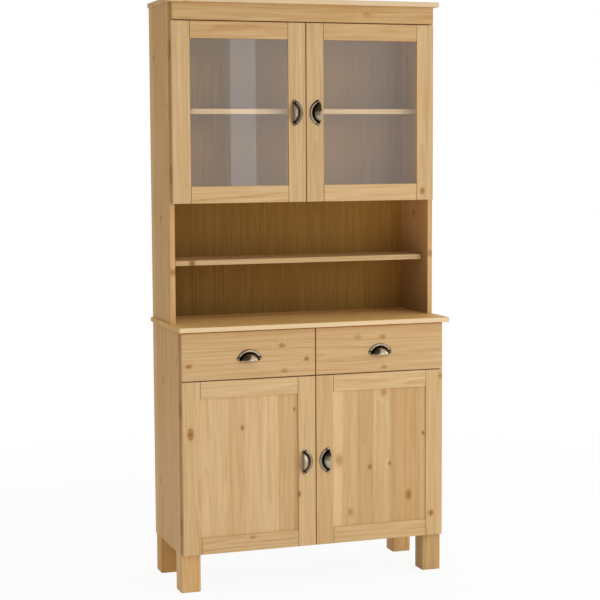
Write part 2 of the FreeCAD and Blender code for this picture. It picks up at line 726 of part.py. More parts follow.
def drawer(name, side):
    """An overlay front, two grooved sides, a back and a thin bottom, with a cup pull."""
    bottom_groove = (f"{bottom_level} - groove_clearance / 2", "drawer_bottom + groove_clearance")
    groove_x = across(side, f"{box_near} + drawer_side - drawer_groove",
                      f"{box_far} - drawer_side + drawer_groove")
    groove = block(f"{name}_bottom_groove", groove_x,
                   (f"{box_front} - drawer_groove", "drawer_box_depth + drawer_groove"), bottom_groove)

    front_width = f"({front_far} - {front_near})"
    face = slab(f"{name}_face", front_width, "front_thickness", "drawer_front_height", front_arris,
                "front_round")
    place(face, across(side, front_near, front_far)[0], f"{box_front} - front_thickness", drawer_front_level)
    subpart(carved(f"{name}_front_board", face, [groove]), f"{name}_front")

    box_span = (box_front, "drawer_box_depth")
    channel_z = (f"{runner_level} - runner_play", "runner_height + 2 * runner_play")
    for word, near, far, channel_near in (
            ("inner", box_near, f"{box_near} + drawer_side", box_near),
            ("outer", f"{box_far} - drawer_side", box_far, f"{box_far} - runner_depth")):
        bar = block(f"{name}_{word}_side_board", across(side, near, far), box_span,
                    (box_level, "drawer_box_height"))
        channel = block(f"{name}_{word}_channel", across(side, channel_near, f"{channel_near} + runner_depth"),
                        box_span, channel_z)
        subpart(carved(f"{name}_{word}_side_grooved", bar, [groove, channel]), f"{name}_{word}_side")
    for word, carrier, tip in (("inner", "board / 2", f"{box_near} + runner_depth - runner_play"),
                               ("outer", inner, f"{box_far} - runner_depth + runner_play")):
        near, far = (carrier, tip) if word == "inner" else (tip, carrier)
        runner_front = f"({base_front} + runner_setback)"
        runner_y = (runner_front, f"{back_face} - {runner_front}")
        runners.append(block(f"{name}_{word}_runner", across(side, near, far), runner_y,
                             (runner_level, "runner_height")))

    inside_x = across(side, f"{box_near} + drawer_side", f"{box_far} - drawer_side")
    back_level = f"({bottom_level} + drawer_bottom + groove_clearance / 2)"
    subpart(block(f"{name}_back", inside_x, (f"{box_front} + drawer_box_depth - drawer_side", "drawer_side"),
                  (back_level, f"{box_level} + drawer_box_height - {back_level}")), f"{name}_back")
    play = "groove_clearance"
    bottom_x = across(side, f"{box_near} + drawer_side - drawer_groove + {play}",
                      f"{box_far} - drawer_side + drawer_groove - {play}")
    subpart(block(f"{name}_bottom", bottom_x,
                  (f"{box_front} - drawer_groove + {play}", f"drawer_box_depth + drawer_groove - {play}"),
                  (bottom_level, "drawer_bottom")), f"{name}_bottom")
    middle = f"(({front_near} + {front_far}) / 2)"
    cup_pull(f"{name}_pull", middle if side == RIGHT else f"-{middle}", f"{box_front} - front_thickness",
             f"{drawer_front_level} + drawer_front_height / 2 - (pull_trim + pull_radius) / 2",
             axes_turn((1, 0, 0), (0, 0, 1)))


for word, side in SIDES.items():
    drawer(f"{word}_drawer", side)
subpart(group("runner_set", runners), "drawer_runners")

doc.recompute()
for item in doc.Objects:
    if "Invalid" in item.State or "Error" in item.State:
        raise RuntimeError(f"{item.Label} failed: {item.State}")
for item in subparts:
    if item.Shape.isNull() or not item.Shape.isValid():
        raise RuntimeError(f"{item.Label} has no valid shape")

os.makedirs("parts", exist_ok=True)
for item in subparts:
    item.Shape.exportStep(f"parts/{item.Label}.step")
print(f"{len(subparts)} sub-parts, {sum(len(item.Shape.Solids) for item in subparts)} solids")
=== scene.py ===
import math
import bmesh
import bpy
from mathutils import Matrix, Vector


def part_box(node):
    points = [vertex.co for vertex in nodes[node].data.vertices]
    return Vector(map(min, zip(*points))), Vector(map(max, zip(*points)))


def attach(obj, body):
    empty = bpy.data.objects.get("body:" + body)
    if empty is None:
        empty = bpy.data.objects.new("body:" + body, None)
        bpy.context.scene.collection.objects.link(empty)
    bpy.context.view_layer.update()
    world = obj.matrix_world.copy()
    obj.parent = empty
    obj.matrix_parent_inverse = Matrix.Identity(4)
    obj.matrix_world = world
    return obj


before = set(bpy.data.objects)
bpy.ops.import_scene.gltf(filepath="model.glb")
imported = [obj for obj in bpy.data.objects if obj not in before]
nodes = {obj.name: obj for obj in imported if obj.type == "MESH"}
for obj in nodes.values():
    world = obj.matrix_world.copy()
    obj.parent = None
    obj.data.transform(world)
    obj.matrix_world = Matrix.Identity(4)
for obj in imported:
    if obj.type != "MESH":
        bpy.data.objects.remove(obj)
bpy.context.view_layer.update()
scene = bpy.context.scene
scene.view_settings.view_transform = "Standard"
print("frame loaded:", len(nodes), "nodes")


def linear(hexColour):
    channels = [int(hexColour[i:i + 2], 16) / 255 for i in (1, 3, 5)]
    return [c / 12.92 if c <= 0.04045 else ((c + 0.055) / 1.055) ** 2.4 for c in channels] + [1.0]


def grey(value):
    return (value, value, value, 1.0)


def addNode(tree, kind, inputs=None, stops=None, **settings):
    # a node given as an input stands for its first output in use
    node = tree.nodes.new(kind)
    for name, value in settings.items():
        setattr(node, name, value)
    for key, value in (inputs or {}).items():
        if isinstance(value, bpy.types.Node):
            value = next(output for output in value.outputs if output.enabled)
        if isinstance(value, bpy.types.NodeSocket):
            tree.links.new(value, node.inputs[key])
        else:
            node.inputs[key].default_value = value
    for number, (at, colour) in enumerate(stops or []):
        ramp = node.color_ramp.elements
        stop = ramp[number] if number < 2 else ramp.new(at)
        stop.position = at
        stop.color = colour
    return node


def newMaterial(name):
    material = bpy.data.materials.new(name)
    material.use_nodes = True
    material.node_tree.nodes.clear()
    return material, material.node_tree


def dress(material, names):
    for name in names:
        mesh = nodes[name].data
        mesh.materials.clear()
        mesh.materials.append(material)


def boxInMillimetres(name):
    return [corner * 1000 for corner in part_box(name)]


# Pine is sawn from the log, so growth rings round a pith show as stripes and arches on the faces and as
# arcs on the ends. Soft pale early wood and harder honey-brown late wood give the eye the grain.
# Sizes are in millimetres of the part's own frame.
pine = {
    "early": "#D8B685", "late": "#BD925C", "paleStave": "#E2C294", "warmStave": "#C9A26E",
    "stave": 70.0, "start": 0.0, "staveMix": 0.5,         # width, first joint, and how far the tones differ
    "seed": 1.0, "seedApart": 57.0, "staveApart": 131.0,  # each board and stave has its own stretch of noise
    "toneDraw": 7.31,                                     # makes a second draw out of the first
    "plane": 0.0, "pith": (24.0, 90.0),                   # the board's face, and the pith's depth behind it
    "pithSpan": (0.05, 0.95),                             # where across the stave the pith may lie
    "taper": 0.02, "wander": 15.0, "wanderWave": 55.0, "wanderStretch": 0.16,
    "ring": 4.6, "ringSoft": 0.42, "lateSpan": (0.25, 1.3),
    "ringProfile": [(0.0, 0.0), (0.42, 0.12), (0.80, 0.85), (0.93, 1.0), (1.0, 0.05)],
    "streak": 19.0,
    "fibre": 2.4,            # real fibres are about 0.1 mm wide, drawn coarser so that they show
    "fibreStretch": 0.03, "fibreShade": (0.93, 1.05),
    "noiseSpan": (0.3, 0.7),                              # where most of a noise's values lie
    "stripe": 8.0, "stripeSpan": (0.35, 0.65), "stripeSoak": (1.10, 0.92),
    "knots": [],             # each one's place across and along the grain, two half sizes and strength
    "knotHeart": "#7C4E26", "knotWood": "#AE7F49", "knotEdge": "#8E5F33",
    "knotBands": [(0.0, "knotHeart"), (0.35, "knotEdge"), (0.55, "knotWood"), (0.78, "knotWood"),
                  (1.0, "knotEdge")],
    "knotRag": 4.0, "knotRagWave": 6.0, "knotFade": (0.9, 1.15),
    "swirl": 11.0, "swirlReach": 4.0, "halo": 0.35, "haloFade": (0.9, 2.2),
    # painted shade along the V joints where rails meet stiles
    "seams": [], "seam": "#7A5426", "seamShadeStrength": 0.85, "seamFade": (0.8, 2.4),
    # front edge coloured paler than the face
    "frontEdge": None, "edgePaleShare": 0.6, "edgeFade": 1.0,
    # painted shade round the open niche, by height and across; None for boards outside it
    "niche": None,
    "rough": 0.5, "roughEarly": 0.05, "roughLate": -0.06, "sheen": 0.08, "ior": 1.5,
    "bump": 0.12, "bumpDepth": 0.6, "fibreRelief": 0.6,
}


def findKnots(tree, look, spot, wide, along):
    # how far away the nearest knot is, as a share of its size, and how strongly it shows
    rag, (solid, gone) = look["knotRag"], look["knotFade"]
    ragged = addNode(tree, "ShaderNodeTexNoise", {"Vector": spot, "Scale": 1 / look["knotRagWave"],
                                                  "Detail": 1.0})
    flat = addNode(tree, "ShaderNodeCombineXYZ", {0: wide, 1: along})
    flat = addNode(tree, "ShaderNodeVectorMath", {0: ragged.outputs["Color"], 1: (rag, rag, 0.0), 2: flat},
                   operation="MULTIPLY_ADD")
    nearKnot = inKnot = None
    for knotWide, knotAlong, halfWide, halfAlong, strength in look["knots"]:
        size = (1 / halfWide, 1 / halfAlong, 0.0)
        back = (-(knotWide + rag / 2) / halfWide, -(knotAlong + rag / 2) / halfAlong, 0.0)
        offset = addNode(tree, "ShaderNodeVectorMath", {0: flat, 1: size, 2: back}, operation="MULTIPLY_ADD")
        distance = addNode(tree, "ShaderNodeVectorMath", {0: offset}, operation="LENGTH")
        mask = addNode(tree, "ShaderNodeMapRange",
                       {"Value": distance, "From Min": solid, "From Max": gone,
                        "To Min": strength, "To Max": 0.0}, interpolation_type="SMOOTHSTEP")
        if nearKnot is not None:
            distance = addNode(tree, "ShaderNodeMath", {0: nearKnot, 1: distance}, operation="MINIMUM")
            mask = addNode(tree, "ShaderNodeMath", {0: inKnot, 1: mask}, operation="MAXIMUM")
        nearKnot, inKnot = distance, mask
    return nearKnot, inKnot


# a ramp holds 1 at most, so the niche's levels go into it as shares of the peak
nichePaintedShade = {"bottom": 800.0, "top": 1200.0, "peak": 1.25}


def paintNicheShade(tree, niche, split, deep, shade):
    # painted shade round the open niche: darker just above each board and lighter up towards the board over
    # it, with painted light and shade across the width
    bottom, top, peak = nichePaintedShade["bottom"], nichePaintedShade["top"], nichePaintedShade["peak"]
    height = addNode(tree, "ShaderNodeMapRange", {"Value": split.outputs["Z"], "From Min": bottom,
                                                  "From Max": top})
    levels = [((at - bottom) / (top - bottom), grey(level / peak)) for at, level in niche["heights"]]
    tone = addNode(tree, "ShaderNodeValToRGB", {0: height}, stops=levels)
    tone = addNode(tree, "ShaderNodeMath", {0: tone, 1: peak}, operation="MULTIPLY")
    for start, stop, startTone, stopTone in niche["across"]:
        side = addNode(tree, "ShaderNodeMapRange",
                       {"Value": split.outputs["X"], "From Min": start, "From Max": stop,
                        "To Min": startTone, "To Max": stopTone}, interpolation_type="SMOOTHSTEP")
        tone = addNode(tree, "ShaderNodeMath", {0: tone, 1: side}, operation="MULTIPLY")
    inside = addNode(tree, "ShaderNodeMath", {0: deep, 1: niche["inside"]}, operation="LESS_THAN")
    tone = addNode(tree, "ShaderNodeMath", {0: tone, 1: 1.0}, operation="SUBTRACT")
    tone = addNode(tree, "ShaderNodeMath", {0: tone, 1: inside, 2: 1.0}, operation="MULTIPLY_ADD")
    return addNode(tree, "ShaderNodeMath", {0: shade, 1: tone}, operation="MULTIPLY")


def paintSeamShade(tree, look, split, colour):
    # painted shade in the V joint where a rail meets its stiles
    joint, clear = look["seamFade"]
    sideways = addNode(tree, "ShaderNodeMath", {0: split.outputs["X"]}, operation="ABSOLUTE")
    for seamAt in look["seams"]:
        gap = addNode(tree, "ShaderNodeMath", {0: sideways, 1: seamAt}, operation="SUBTRACT")
        gap = addNode(tree, "ShaderNodeMath", {0: gap}, operation="ABSOLUTE")
        seamShade = addNode(tree, "ShaderNodeMapRange", {"Value": gap, "From Min": joint, "From Max": clear,
                                                    "To Min": look["seamShadeStrength"], "To Max": 0.0})
        colour = addNode(tree, "ShaderNodeMix", {0: seamShade, 6: colour, 7: linear(look["seam"])},
                         data_type="RGBA")
    return colour


def woodMaterial(name, look):
    look = {**pine, **look}
    material, tree = newMaterial(name)
    spot = addNode(tree, "ShaderNodeTexCoord").outputs["Object"]
    spot = addNode(tree, "ShaderNodeVectorMath", {0: spot, "Scale": 1000.0}, operation="SCALE")
    split = addNode(tree, "ShaderNodeSeparateXYZ", {0: spot})
    across = next(axis for axis in "XYZ" if axis not in (look["grain"], look["face"]))
    along, deep, wide = split.outputs[look["grain"]], split.outputs[look["face"]], split.outputs[across]
    if look["face"] == "X":     # left and right panels are book-matched
        deep = addNode(tree, "ShaderNodeMath", {0: deep}, operation="ABSOLUTE")

    # glued staves, each with its own place in the log
    stave = look["stave"]
    position = addNode(tree, "ShaderNodeMath", {0: wide, 1: 1 / stave, 2: -look["start"] / stave},
                       operation="MULTIPLY_ADD")
    number = addNode(tree, "ShaderNodeMath", {0: position}, operation="FLOOR")
    within = addNode(tree, "ShaderNodeMath", {0: position}, operation="FRACT")
    label = addNode(tree, "ShaderNodeCombineXYZ", {0: number, 1: look["seed"]})
    dice = addNode(tree, "ShaderNodeTexWhiteNoise", {"Vector": label}, noise_dimensions="2D").outputs["Color"]
    sideDraw, depthDraw, taperDraw = addNode(tree, "ShaderNodeSeparateColor", {0: dice}).outputs
    pithLeft, pithRight = look["pithSpan"]
    pithShift = addNode(tree, "ShaderNodeMath", {0: sideDraw, 1: pithRight - pithLeft, 2: pithLeft},
                        operation="MULTIPLY_ADD")
    fromPith = addNode(tree, "ShaderNodeMath", {0: within, 1: pithShift}, operation="SUBTRACT")
    fromPith = addNode(tree, "ShaderNodeMath", {0: fromPith, 1: stave}, operation="MULTIPLY")
    nearPith, farPith = look["pith"]
    pithDepth = addNode(tree, "ShaderNodeMath",
                        {0: depthDraw, 1: farPith - nearPith, 2: nearPith - look["plane"]},
                        operation="MULTIPLY_ADD")
    pithDepth = addNode(tree, "ShaderNodeMath", {0: pithDepth, 1: deep}, operation="ADD")
    radius = addNode(tree, "ShaderNodeCombineXYZ", {0: fromPith, 1: pithDepth})
    radius = addNode(tree, "ShaderNodeVectorMath", {0: radius}, operation="LENGTH")

    # the trunk tapers and wanders along the grain
    taper = addNode(tree, "ShaderNodeMath", {0: taperDraw, 1: 2 * look["taper"], 2: -look["taper"]},
                    operation="MULTIPLY_ADD")
    radius = addNode(tree, "ShaderNodeMath", {0: along, 1: taper, 2: radius}, operation="MULTIPLY_ADD")
    stretched = addNode(tree, "ShaderNodeMath",
                        {0: number, 1: look["staveApart"], 2: look["seed"] * look["seedApart"]},
                        operation="MULTIPLY_ADD")
    stretched = addNode(tree, "ShaderNodeMath", {0: along, 1: look["wanderStretch"], 2: stretched},
                        operation="MULTIPLY_ADD")
    grainSpot = addNode(tree, "ShaderNodeCombineXYZ", {0: wide, 1: deep, 2: stretched})
    wander = addNode(tree, "ShaderNodeTexNoise", {"Vector": grainSpot, "Scale": 1 / look["wanderWave"],
                                                  "Detail": 2.0})
    radius = addNode(tree, "ShaderNodeMath", {0: wander, 1: look["wander"], 2: radius},
                     operation="MULTIPLY_ADD")
    if look["knots"]:     # the nearest one bends the rings round itself
        nearKnot, inKnot = findKnots(tree, look, spot, wide, along)
        swirl = addNode(tree, "ShaderNodeMapRange",
                        {"Value": nearKnot, "From Max": look["swirlReach"],
                         "To Min": look["swirl"], "To Max": 0.0}, interpolation_type="SMOOTHERSTEP")
        radius = addNode(tree, "ShaderNodeMath", {0: radius, 1: swirl}, operation="ADD")

    # ring profile: early wood darkens slowly to late wood, then breaks off
    ring = addNode(tree, "ShaderNodeMath", {0: radius, 1: look["ring"]}, operation="DIVIDE")
    ring = addNode(tree, "ShaderNodeMath", {0: ring}, operation="FRACT")
    ring = addNode(tree, "ShaderNodeValToRGB", {0: ring},
                   stops=[(at, grey(level)) for at, level in look["ringProfile"]])
    fibreSpot = addNode(tree, "ShaderNodeMath", {0: along, 1: look["fibreStretch"]}, operation="MULTIPLY")
    fibreSpot = addNode(tree, "ShaderNodeCombineXYZ", {0: wide, 1: deep, 2: fibreSpot})
    fibre = addNode(tree, "ShaderNodeTexNoise", {"Vector": fibreSpot, "Scale": 1 / look["fibre"],
                                                 "Detail": 3.0, "Roughness": 0.6})
    streak = addNode(tree, "ShaderNodeTexNoise", {"Vector": fibreSpot, "Scale": 1 / look["streak"],
                                                  "Detail": 2.0})
    stripe = addNode(tree, "ShaderNodeTexNoise", {"Vector": fibreSpot, "Scale": 1 / look["stripe"],
                                                  "Detail": 1.0})

    # colour, from the widest variation to the finest
    tone = addNode(tree, "ShaderNodeMath", {0: taperDraw, 1: look["toneDraw"]}, operation="MULTIPLY")
    tone = addNode(tree, "ShaderNodeMath", {0: tone}, operation="FRACT")
    staveColour = addNode(tree, "ShaderNodeValToRGB", {0: tone}, stops=[(0.0, linear(look["warmStave"])),
                                                                       (0.5, linear(look["early"])),
                                                                       (1.0, linear(look["paleStave"]))])
    early = addNode(tree, "ShaderNodeMix", {0: look["staveMix"], 6: linear(look["early"]), 7: staveColour},
                    data_type="RGBA")
    noiseLow, noiseHigh = look["noiseSpan"]
    leastLate, mostLate = look["lateSpan"]
    lateShare = addNode(tree, "ShaderNodeMapRange",
                        {"Value": streak, "From Min": noiseLow, "From Max": noiseHigh,
                         "To Min": leastLate * look["ringSoft"], "To Max": mostLate * look["ringSoft"]})
    lateShare = addNode(tree, "ShaderNodeMath", {0: ring, 1: lateShare}, operation="MULTIPLY")
    colour = addNode(tree, "ShaderNodeMix", {0: lateShare, 6: early, 7: linear(look["late"])},
                     data_type="RGBA")
    # finish soaks deeper into some stripes, which makes them darker and warmer
    stripeLow, stripeHigh = look["stripeSpan"]
    deepSoak, thinSoak = look["stripeSoak"]
    soak = addNode(tree, "ShaderNodeMapRange",
                   {"Value": stripe, "From Min": stripeLow, "From Max": stripeHigh,
                    "To Min": deepSoak, "To Max": thinSoak})
    colour = addNode(tree, "ShaderNodeGamma", {0: colour, 1: soak})
    darkFibre, paleFibre = look["fibreShade"]
    shade = addNode(tree, "ShaderNodeMapRange", {"Value": fibre, "From Min": noiseLow, "From Max": noiseHigh,
                                                 "To Min": darkFibre, "To Max": paleFibre})
    # painted shade round the open niche
    if look["niche"]:
        shade = paintNicheShade(tree, look["niche"], split, deep, shade)
    colour = addNode(tree, "ShaderNodeMix", {0: 1.0, 6: colour, 7: shade}, data_type="RGBA",
                     blend_type="MULTIPLY")
    if look["knots"]:
        haloFull, haloEnd = look["haloFade"]
        halo = addNode(tree, "ShaderNodeMapRange",
                       {"Value": nearKnot, "From Min": haloFull, "From Max": haloEnd,
                        "To Min": look["halo"], "To Max": 0.0}, interpolation_type="SMOOTHSTEP")
        colour = addNode(tree, "ShaderNodeMix", {0: halo, 6: colour, 7: linear(look["late"])},
                         data_type="RGBA")
        knotColour = addNode(tree, "ShaderNodeValToRGB", {0: nearKnot},
                             stops=[(at, linear(look[band])) for at, band in look["knotBands"]])
        colour = addNode(tree, "ShaderNodeMix", {0: inKnot, 6: colour, 7: knotColour}, data_type="RGBA")
    # painted shade along the V joints
    if look["seams"]:
        colour = paintSeamShade(tree, look, split, colour)
    if look["frontEdge"]:
        # the front edge is coloured paler than the face
        forward = addNode(tree, "ShaderNodeMapRange",
                          {"Value": split.outputs["Y"], "From Min": look["frontEdge"],
                           "From Max": look["frontEdge"] - look["edgeFade"], "To Max": look["edgePaleShare"]})
        colour = addNode(tree, "ShaderNodeMix", {0: forward, 6: colour, 7: linear(look["edgeWood"])},
                         data_type="RGBA")

    # waxed satin surface, a little glossier on the hard late wood
    rough = addNode(tree, "ShaderNodeMapRange", {"Value": ring, "To Min": look["rough"] + look["roughEarly"],
                                                 "To Max": look["rough"] + look["roughLate"]})
    relief = addNode(tree, "ShaderNodeMath", {0: fibre, 1: look["fibreRelief"], 2: ring},
                     operation="MULTIPLY_ADD")
    bump = addNode(tree, "ShaderNodeBump", {"Strength": look["bump"], "Distance": look["bumpDepth"] / 1000,
                                            "Height": relief})
    shader = addNode(tree, "ShaderNodeBsdfPrincipled",
                     {"Base Color": colour, "Roughness": rough, "IOR": look["ior"],
                      "Specular IOR Level": look["sheen"], "Normal": bump})
    addNode(tree, "ShaderNodeOutputMaterial", {0: shader})
    return material


# Drawer fronts: one wide flat-sawn board each, grain along the front
drawerFronts = {"grain": "X", "face": "Y", "plane": -152.0, "stave": 150.0, "start": 642.0, "seed": 3.0,
                "early": "#D2AD7B", "late": "#B88A55", "paleStave": "#DCB889", "warmStave": "#C49A65",
                "pith": (30.0, 60.0),
                "knots": [(690.0, -399.0, 6.0, 9.0, 0.75), (740.6, -107.0, 6.0, 9.0, 0.6),
                          (663.0, -100.5, 6.0, 9.0, 0.4), (696.5, -29.0, 6.0, 7.0, 0.85),
                          (755.0, 137.0, 6.0, 9.0, 0.2), (753.0, 219.0, 6.0, 8.0, 0.45),
                          (659.0, 224.0, 5.0, 8.0, 0.6)]}
dress(woodMaterial("pineDrawerFront", drawerFronts), ["left_drawer_front", "right_drawer_front"])

# Door frames: narrow stiles and rails from straight stock
lowerStiles = {"grain": "Z", "face": "Y", "plane": -152.0, "stave": 70.0, "seed": 5.0,
               "early": "#DDBB8B", "late": "#C29661", "paleStave": "#E8C89B", "warmStave": "#CEA773",
               "knots": [(-395.7, 486.0, 9.0, 17.0, 0.85), (-54.0, 281.0, 4.0, 8.0, 0.8),
                         (382.0, 188.6, 8.0, 9.0, 0.85), (413.0, 621.0, 6.0, 8.0, 0.5)]}
lowerRails = {"grain": "X", "face": "Y", "plane": -152.0, "stave": 90.0, "start": 20.0, "seed": 6.0,
              "early": "#DCBA8A", "late": "#C09560", "paleStave": "#E6C69A", "warmStave": "#CCA573",
              "seams": [56.5, 364.5], "knots": [(159.0, -203.6, 4.0, 9.0, 0.5)]}
upperStiles = {"grain": "Z", "face": "Y", "plane": -75.0, "stave": 70.0, "seed": 8.0,
               "early": "#D2B080", "late": "#B88D59", "paleStave": "#DCBB8F", "warmStave": "#C49C6A",
               "knots": [(383.5, 1198.5, 7.0, 10.0, 0.8)]}
upperRails = {"grain": "X", "face": "Y", "plane": -75.0, "stave": 80.0, "start": 40.0, "seed": 9.0,
              "early": "#D6B282", "late": "#BB8F5A", "paleStave": "#E0BE91", "warmStave": "#C79E6C",
              "seams": [56.5, 364.5]}
for level, board, look in (("lower", "stile", lowerStiles), ("lower", "rail", lowerRails),
                           ("upper", "stile", upperStiles), ("upper", "rail", upperRails)):
    dress(woodMaterial(f"pine{level.title()}{board.title()}", look),
          [f"{level}_{side}_door_{board}s" for side in ("left", "right")])
glazingBeads = {"grain": "Z", "face": "Y", "plane": -60.0, "stave": 30.0, "seed": 10.0}
dress(woodMaterial("pineGlazingBead", glazingBeads), ["upper_left_door_beads", "upper_right_door_beads"])

# Door panels: edge-glued staves that differ in tone
doorPanels = {"grain": "Z", "face": "Y", "plane": -147.0, "stave": 52.0, "seed": 13.0,
              "early": "#DCBA8A", "late": "#C0955F", "paleStave": "#E6C699", "warmStave": "#CDA572",
              "staveMix": 1.0, "stripeSoak": (1.06, 0.95), "ringSoft": 0.32, "pith": (60.0, 200.0),
              "wander": 8.0}
panelBoards = {
    "left": {"start": -121.0, "early": "#DAB686", "paleStave": "#E3C194",
             "knots": [(-233.0, 496.0, 5.0, 7.0, 0.85), (-68.0, 544.0, 4.0, 5.0, 0.8)]},
    "right": {"start": 87.0,
              "knots": [(224.5, 580.0, 8.0, 11.0, 0.5), (77.4, 376.5, 10.0, 15.0, 0.4),
                        (178.7, 348.6, 6.0, 8.0, 0.85), (245.0, 355.0, 5.0, 6.0, 0.75),
                        (357.0, 443.6, 5.0, 6.0, 0.8), (308.0, 251.6, 9.0, 16.0, 0.8),
                        (114.0, 211.3, 8.0, 11.0, 0.4)]},
}
for side, board in panelBoards.items():
    dress(woodMaterial(f"pineDoorPanel{side.title()}", {**doorPanels, **board}), [f"lower_{side}_door_panel"])

# Carcass boards
sidePanels = {"grain": "Z", "face": "X", "plane": 426.0, "stave": 62.0, "start": 7.0, "seed": 14.0,
              "early": "#DCB37D", "late": "#C08F54", "paleStave": "#E3BD88", "warmStave": "#CEA168",
              "staveMix": 0.6,
              # painted shade on the inner faces round the open niche: darker low in each opening
              "niche": {"inside": 411.5, "across": [],
                        "heights": [(800.0, 1.0), (808.0, 0.55), (978.0, 0.78), (995.0, 0.85), (1165.0, 1.20),
                                    (1170.0, 1.0)]},
              "knots": [(59.0, 1121.7, 8.0, 12.0, 0.5), (48.7, 626.0, 7.0, 12.0, 0.5),
                        (-112.0, 701.0, 4.0, 14.0, 0.5), (110.0, 300.0, 8.0, 12.0, 0.4),
                        (-40.0, 1460.0, 6.0, 9.0, 0.3), (120.0, 1610.0, 8.0, 12.0, 0.4)]}
edgeKnots = {"left": [(-54.0, 963.7, 6.0, 9.0, 0.5)],
             "right": [(-54.0, 1000.0, 6.0, 9.0, 0.5), (-54.0, 1568.0, 5.0, 9.0, 0.5)]}
for side, knots in edgeKnots.items():
    dress(woodMaterial(f"pineSidePanel{side.title()}", {**sidePanels, "knots": sidePanels["knots"] + knots}),
          [f"base_side_{side}", f"hutch_side_{side}"])
worktop = {"grain": "X", "face": "Z", "plane": 808.0, "stave": 59.0, "start": -177.0, "seed": 16.0,
           "frontEdge": -175.6, "edgeWood": "#FBE2BD",
           "early": "#DCB270", "late": "#C18E4C", "paleStave": "#E4BD7B", "warmStave": "#CE9E5B",
           "knots": [(-130.0, -250.0, 7.0, 10.0, 0.4), (20.0, 190.0, 7.0, 11.0, 0.4),
                     (-40.0, 330.0, 6.0, 9.0, 0.4)]}
dress(woodMaterial("pineWorktop", worktop), ["worktop"])
topBoard = {"grain": "X", "face": "Z", "plane": 1780.0, "stave": 55.0, "start": -98.0, "seed": 18.0,
            "frontEdge": -96.6, "edgeWood": "#E6D0AE",
            "knots": [(-98.0, -379.0, 8.0, 7.0, 0.6), (40.0, 120.0, 7.0, 11.0, 0.4),
                      (110.0, -200.0, 8.0, 12.0, 0.4)]}
dress(woodMaterial("pineTopBoard", topBoard), ["top_board"])
fascia = {"grain": "X", "face": "Y", "plane": -79.0, "stave": 60.0, "start": 1710.0, "seed": 20.0,
          "early": "#CBA774", "late": "#B48851", "paleStave": "#D0AD7B", "warmStave": "#C49E68",
          "knots": [(1739.0, 196.0, 6.0, 11.0, 0.2)]}
dress(woodMaterial("pineFascia", fascia), ["fascia"])
shelves = {"grain": "X", "face": "Z", "plane": 995.0, "stave": 57.0, "start": -18.0, "seed": 22.0,
           "early": "#D0AF80", "late": "#B68C58", "paleStave": "#D9BB8E", "warmStave": "#C19C6A",
           "knots": [(-18.0, -349.0, 6.0, 9.0, 0.8), (70.0, 140.0, 7.0, 11.0, 0.4)]}
dress(woodMaterial("pineShelf", shelves),
      ["niche_shelf", "cupboard_shelf", "base_shelf", "hutch_floor", "base_floor", "dust_board"])
feet = {"grain": "Z", "face": "Y", "plane": -131.0, "stave": 90.0, "start": -450.0, "seed": 24.0,
        "staveMix": 0.1}
# painted light and shade: each foot has its own copy of the pine, the front left lighter, the front right
# darker and the back left a deeper orange, as the light falls on it
footPaintedLight = {"foot_front_left": ("#E4BB82", "#C9995D"), "foot_front_right": ("#CBA773", "#B38852"),
             "foot_back_left": ("#D8A766", "#BA8645"), "foot_back_right": ("#D9B27B", "#BF9158")}
for foot, (footEarly, footLate) in footPaintedLight.items():
    dress(woodMaterial(f"pine_{foot}", {**feet, "early": footEarly, "late": footLate}), [foot])
drawerBoxes = {"grain": "Y", "face": "X", "plane": 400.0, "stave": 110.0, "start": 655.0, "seed": 26.0,
               "early": "#DDBD8C", "late": "#C79F69"}
dress(woodMaterial("pineDrawerSide", drawerBoxes),
      [f"{side}_drawer_{part}" for side in ("left", "right") for part in ("inner_side", "outer_side")])
drawerBacks = {**drawerBoxes, "grain": "X", "face": "Y", "plane": 122.0, "seed": 27.0}
dress(woodMaterial("pineDrawerBack", drawerBacks),
      ["left_drawer_back", "right_drawer_back", "drawer_divider"])
print("pine boards dressed")

# Back boards: thin board with a brown straight-grained veneer, dull
backBoards = {"grain": "Z", "face": "Y", "plane": 165.0, "stave": 900.0, "start": -450.0, "seed": 30.0,
              "early": "#9A7437", "late": "#7F5727", "paleStave": "#9E7A3D", "warmStave": "#946E34",
              "staveMix": 0.0, "ring": 6.5, "ringSoft": 0.45, "fibre": 2.8, "stripe": 4.5,
              "stripeSoak": (1.06, 0.95), "pith": (30.0, 60.0), "taper": 0.001, "wander": 4.0,
              "rough": 0.6, "bump": 0.08,
              # painted light and shade on the back's front face: by height round the open niche, darker low
              # in each opening, and across the whole width, darker at the left corner and lighter towards the
              # right
              "niche": {"inside": 167.0,
                        "heights": [(800.0, 1.0), (808.0, 0.65), (978.0, 1.08), (995.0, 0.80), (1165.0, 1.20),
                                    (1170.0, 1.0)],
                        "across": [(-400.0, 400.0, 0.93, 1.16), (170.0, 405.0, 1.0, 1.35),
                                   (-411.0, -320.0, 0.72, 1.0)]}}
dress(woodMaterial("veneerBackBoard", backBoards), ["hutch_back", "base_back"])

# Drawer bottoms: birch-faced plywood, pale with faint grain
drawerBottoms = {"grain": "X", "face": "Z", "plane": 669.0, "stave": 260.0, "start": -140.0, "seed": 32.0,
                 "early": "#DDC39A", "late": "#CDAE80", "paleStave": "#E2CAA4", "warmStave": "#D5B98D",
                 "ring": 12.0, "ringSoft": 0.4}
dress(woodMaterial("plywoodDrawerBottom", drawerBottoms), ["left_drawer_bottom", "right_drawer_bottom"])

# Runners and dowels: planed beech, dense and nearly plain
beech = {"grain": "Y", "face": "X", "plane": 408.0, "stave": 14.0, "seed": 34.0,
         "early": "#D2A878", "late": "#BC8C5B", "paleStave": "#D8B084", "warmStave": "#C99C6A",
         "ring": 3.0, "ringSoft": 0.35}
dress(woodMaterial("beechRunner", beech), ["drawer_runners", "dowels"])
print("veneer, plywood and beech dressed")

